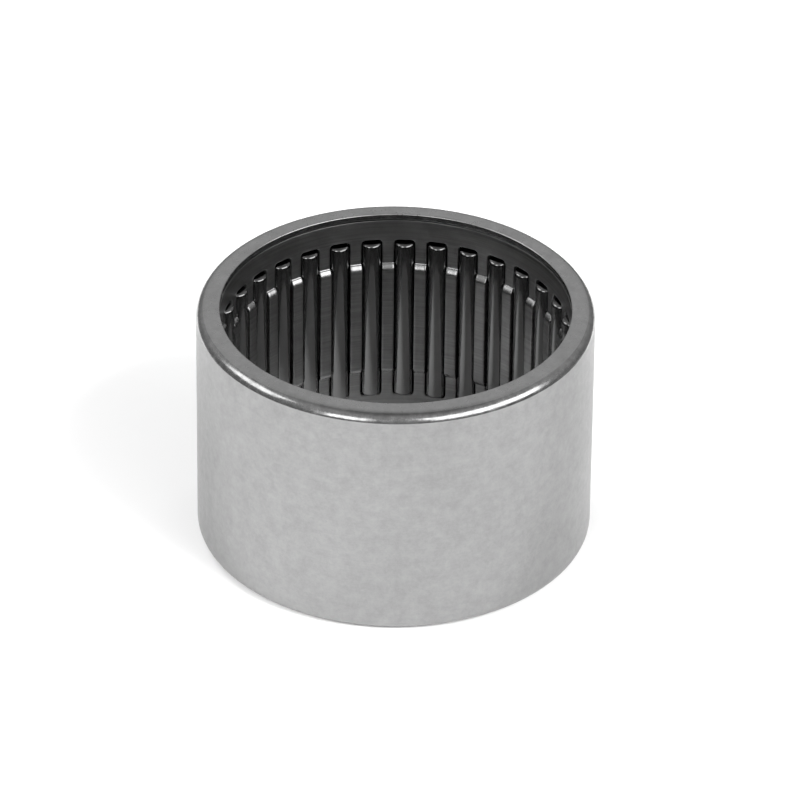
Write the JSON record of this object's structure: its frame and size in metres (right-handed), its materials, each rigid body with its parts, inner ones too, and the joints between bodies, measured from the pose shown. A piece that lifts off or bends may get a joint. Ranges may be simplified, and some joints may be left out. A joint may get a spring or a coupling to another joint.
{
  "type": "drawn-cup needle roller bearing",
  "caption": "Thin drawn-cup radial bearing with caged needle rollers, lipped at both open ends, that carries a shaft in a small housing bore.",
  "frame": {"origin": "middle of the bottom face, on the bearing's axis", "axes": "+Z along the bearing's axis, from the thicker drawn lip at the bottom to the curled lip at the top; +X through the first needle roller"},
  "size_m": [0.047, 0.047, 0.03],
  "materials": {
    "cup_steel": "satin, ground outside, smooth lip",
    "cage_steel": "semi-matt sheet steel",
    "roller_steel": "polished hardened steel"
  },
  "bodies": {
    "cup": {"outer_cup": "cup_steel"},
    "cage": {"cage": "cage_steel"},
    "roller_01": {"roller_01": "roller_steel"},
    "roller_02": {"roller_02": "roller_steel"},
    "roller_03": {"roller_03": "roller_steel"},
    "roller_04": {"roller_04": "roller_steel"},
    "roller_05": {"roller_05": "roller_steel"},
    "roller_06": {"roller_06": "roller_steel"},
    "roller_07": {"roller_07": "roller_steel"},
    "roller_08": {"roller_08": "roller_steel"},
    "roller_09": {"roller_09": "roller_steel"},
    "roller_10": {"roller_10": "roller_steel"},
    "roller_11": {"roller_11": "roller_steel"},
    "roller_12": {"roller_12": "roller_steel"},
    "roller_13": {"roller_13": "roller_steel"},
    "roller_14": {"roller_14": "roller_steel"},
    "roller_15": {"roller_15": "roller_steel"},
    "roller_16": {"roller_16": "roller_steel"},
    "roller_17": {"roller_17": "roller_steel"},
    "roller_18": {"roller_18": "roller_steel"},
    "roller_19": {"roller_19": "roller_steel"},
    "roller_20": {"roller_20": "roller_steel"},
    "roller_21": {"roller_21": "roller_steel"},
    "roller_22": {"roller_22": "roller_steel"},
    "roller_23": {"roller_23": "roller_steel"},
    "roller_24": {"roller_24": "roller_steel"},
    "roller_25": {"roller_25": "roller_steel"},
    "roller_26": {"roller_26": "roller_steel"},
    "roller_27": {"roller_27": "roller_steel"},
    "roller_28": {"roller_28": "roller_steel"},
    "roller_29": {"roller_29": "roller_steel"},
    "roller_30": {"roller_30": "roller_steel"},
    "roller_31": {"roller_31": "roller_steel"},
    "roller_32": {"roller_32": "roller_steel"},
    "roller_33": {"roller_33": "roller_steel"}
  },
  "joints": [
    {"name": "cage_spin", "type": "hinge", "parent": "cup", "child": "cage", "pos_m": [0, 0, 0.015], "axis": [0, 0, 1], "continuous": true},
    {"name": "roller_01_spin", "type": "hinge", "parent": "cage", "child": "roller_01", "pos_m": [0.02125, 0, 0.01515], "axis": [0, 0, 1], "continuous": true},
    {"name": "roller_02_spin", "type": "hinge", "parent": "cage", "child": "roller_02", "pos_m": [0.02087, 0.00402, 0.01515], "axis": [0, 0, 1], "continuous": true},
    {"name": "roller_03_spin", "type": "hinge", "parent": "cage", "child": "roller_03", "pos_m": [0.01973, 0.0079, 0.01515], "axis": [0, 0, 1], "continuous": true},
    {"name": "roller_04_spin", "type": "hinge", "parent": "cage", "child": "roller_04", "pos_m": [0.01788, 0.01149, 0.01515], "axis": [0, 0, 1], "continuous": true},
    {"name": "roller_05_spin", "type": "hinge", "parent": "cage", "child": "roller_05", "pos_m": [0.01538, 0.01466, 0.01515], "axis": [0, 0, 1], "continuous": true},
    {"name": "roller_06_spin", "type": "hinge", "parent": "cage", "child": "roller_06", "pos_m": [0.01233, 0.01731, 0.01515], "axis": [0, 0, 1], "continuous": true},
    {"name": "roller_07_spin", "type": "hinge", "parent": "cage", "child": "roller_07", "pos_m": [0.00883, 0.01933, 0.01515], "axis": [0, 0, 1], "continuous": true},
    {"name": "roller_08_spin", "type": "hinge", "parent": "cage", "child": "roller_08", "pos_m": [0.00501, 0.02065, 0.01515], "axis": [0, 0, 1], "continuous": true},
    {"name": "roller_09_spin", "type": "hinge", "parent": "cage", "child": "roller_09", "pos_m": [0.00101, 0.02123, 0.01515], "axis": [0, 0, 1], "continuous": true},
    {"name": "roller_10_spin", "type": "hinge", "parent": "cage", "child": "roller_10", "pos_m": [-0.00302, 0.02103, 0.01515], "axis": [0, 0, 1], "continuous": true},
    {"name": "roller_11_spin", "type": "hinge", "parent": "cage", "child": "roller_11", "pos_m": [-0.00695, 0.02008, 0.01515], "axis": [0, 0, 1], "continuous": true},
    {"name": "roller_12_spin", "type": "hinge", "parent": "cage", "child": "roller_12", "pos_m": [-0.01063, 0.0184, 0.01515], "axis": [0, 0, 1], "continuous": true},
    {"name": "roller_13_spin", "type": "hinge", "parent": "cage", "child": "roller_13", "pos_m": [-0.01392, 0.01606, 0.01515], "axis": [0, 0, 1], "continuous": true},
    {"name": "roller_14_spin", "type": "hinge", "parent": "cage", "child": "roller_14", "pos_m": [-0.0167, 0.01314, 0.01515], "axis": [0, 0, 1], "continuous": true},
    {"name": "roller_15_spin", "type": "hinge", "parent": "cage", "child": "roller_15", "pos_m": [-0.01889, 0.00974, 0.01515], "axis": [0, 0, 1], "continuous": true},
    {"name": "roller_16_spin", "type": "hinge", "parent": "cage", "child": "roller_16", "pos_m": [-0.02039, 0.00599, 0.01515], "axis": [0, 0, 1], "continuous": true},
    {"name": "roller_17_spin", "type": "hinge", "parent": "cage", "child": "roller_17", "pos_m": [-0.02115, 0.00202, 0.01515], "axis": [0, 0, 1], "continuous": true},
    {"name": "roller_18_spin", "type": "hinge", "parent": "cage", "child": "roller_18", "pos_m": [-0.02115, -0.00202, 0.01515], "axis": [0, 0, 1], "continuous": true},
    {"name": "roller_19_spin", "type": "hinge", "parent": "cage", "child": "roller_19", "pos_m": [-0.02039, -0.00599, 0.01515], "axis": [0, 0, 1], "continuous": true},
    {"name": "roller_20_spin", "type": "hinge", "parent": "cage", "child": "roller_20", "pos_m": [-0.01889, -0.00974, 0.01515], "axis": [0, 0, 1], "continuous": true},
    {"name": "roller_21_spin", "type": "hinge", "parent": "cage", "child": "roller_21", "pos_m": [-0.0167, -0.01314, 0.01515], "axis": [0, 0, 1], "continuous": true},
    {"name": "roller_22_spin", "type": "hinge", "parent": "cage", "child": "roller_22", "pos_m": [-0.01392, -0.01606, 0.01515], "axis": [0, 0, 1], "continuous": true},
    {"name": "roller_23_spin", "type": "hinge", "parent": "cage", "child": "roller_23", "pos_m": [-0.01063, -0.0184, 0.01515], "axis": [0, 0, 1], "continuous": true},
    {"name": "roller_24_spin", "type": "hinge", "parent": "cage", "child": "roller_24", "pos_m": [-0.00695, -0.02008, 0.01515], "axis": [0, 0, 1], "continuous": true},
    {"name": "roller_25_spin", "type": "hinge", "parent": "cage", "child": "roller_25", "pos_m": [-0.00302, -0.02103, 0.01515], "axis": [0, 0, 1], "continuous": true},
    {"name": "roller_26_spin", "type": "hinge", "parent": "cage", "child": "roller_26", "pos_m": [0.00101, -0.02123, 0.01515], "axis": [0, 0, 1], "continuous": true},
    {"name": "roller_27_spin", "type": "hinge", "parent": "cage", "child": "roller_27", "pos_m": [0.00501, -0.02065, 0.01515], "axis": [0, 0, 1], "continuous": true},
    {"name": "roller_28_spin", "type": "hinge", "parent": "cage", "child": "roller_28", "pos_m": [0.00883, -0.01933, 0.01515], "axis": [0, 0, 1], "continuous": true},
    {"name": "roller_29_spin", "type": "hinge", "parent": "cage", "child": "roller_29", "pos_m": [0.01233, -0.01731, 0.01515], "axis": [0, 0, 1], "continuous": true},
    {"name": "roller_30_spin", "type": "hinge", "parent": "cage", "child": "roller_30", "pos_m": [0.01538, -0.01466, 0.01515], "axis": [0, 0, 1], "continuous": true},
    {"name": "roller_31_spin", "type": "hinge", "parent": "cage", "child": "roller_31", "pos_m": [0.01788, -0.01149, 0.01515], "axis": [0, 0, 1], "continuous": true},
    {"name": "roller_32_spin", "type": "hinge", "parent": "cage", "child": "roller_32", "pos_m": [0.01973, -0.0079, 0.01515], "axis": [0, 0, 1], "continuous": true},
    {"name": "roller_33_spin", "type": "hinge", "parent": "cage", "child": "roller_33", "pos_m": [0.02087, -0.00402, 0.01515], "axis": [0, 0, 1], "continuous": true}
  ],
  "couplings": [
    {"joint": "roller_01_spin", "follows": "cage_spin", "ratio": -18},
    {"joint": "roller_02_spin", "follows": "cage_spin", "ratio": -18},
    {"joint": "roller_03_spin", "follows": "cage_spin", "ratio": -18},
    {"joint": "roller_04_spin", "follows": "cage_spin", "ratio": -18},
    {"joint": "roller_05_spin", "follows": "cage_spin", "ratio": -18},
    {"joint": "roller_06_spin", "follows": "cage_spin", "ratio": -18},
    {"joint": "roller_07_spin", "follows": "cage_spin", "ratio": -18},
    {"joint": "roller_08_spin", "follows": "cage_spin", "ratio": -18},
    {"joint": "roller_09_spin", "follows": "cage_spin", "ratio": -18},
    {"joint": "roller_10_spin", "follows": "cage_spin", "ratio": -18},
    {"joint": "roller_11_spin", "follows": "cage_spin", "ratio": -18},
    {"joint": "roller_12_spin", "follows": "cage_spin", "ratio": -18},
    {"joint": "roller_13_spin", "follows": "cage_spin", "ratio": -18},
    {"joint": "roller_14_spin", "follows": "cage_spin", "ratio": -18},
    {"joint": "roller_15_spin", "follows": "cage_spin", "ratio": -18},
    {"joint": "roller_16_spin", "follows": "cage_spin", "ratio": -18},
    {"joint": "roller_17_spin", "follows": "cage_spin", "ratio": -18},
    {"joint": "roller_18_spin", "follows": "cage_spin", "ratio": -18},
    {"joint": "roller_19_spin", "follows": "cage_spin", "ratio": -18},
    {"joint": "roller_20_spin", "follows": "cage_spin", "ratio": -18},
    {"joint": "roller_21_spin", "follows": "cage_spin", "ratio": -18},
    {"joint": "roller_22_spin", "follows": "cage_spin", "ratio": -18},
    {"joint": "roller_23_spin", "follows": "cage_spin", "ratio": -18},
    {"joint": "roller_24_spin", "follows": "cage_spin", "ratio": -18},
    {"joint": "roller_25_spin", "follows": "cage_spin", "ratio": -18},
    {"joint": "roller_26_spin", "follows": "cage_spin", "ratio": -18},
    {"joint": "roller_27_spin", "follows": "cage_spin", "ratio": -18},
    {"joint": "roller_28_spin", "follows": "cage_spin", "ratio": -18},
    {"joint": "roller_29_spin", "follows": "cage_spin", "ratio": -18},
    {"joint": "roller_30_spin", "follows": "cage_spin", "ratio": -18},
    {"joint": "roller_31_spin", "follows": "cage_spin", "ratio": -18},
    {"joint": "roller_32_spin", "follows": "cage_spin", "ratio": -18},
    {"joint": "roller_33_spin", "follows": "cage_spin", "ratio": -18}
  ]
}
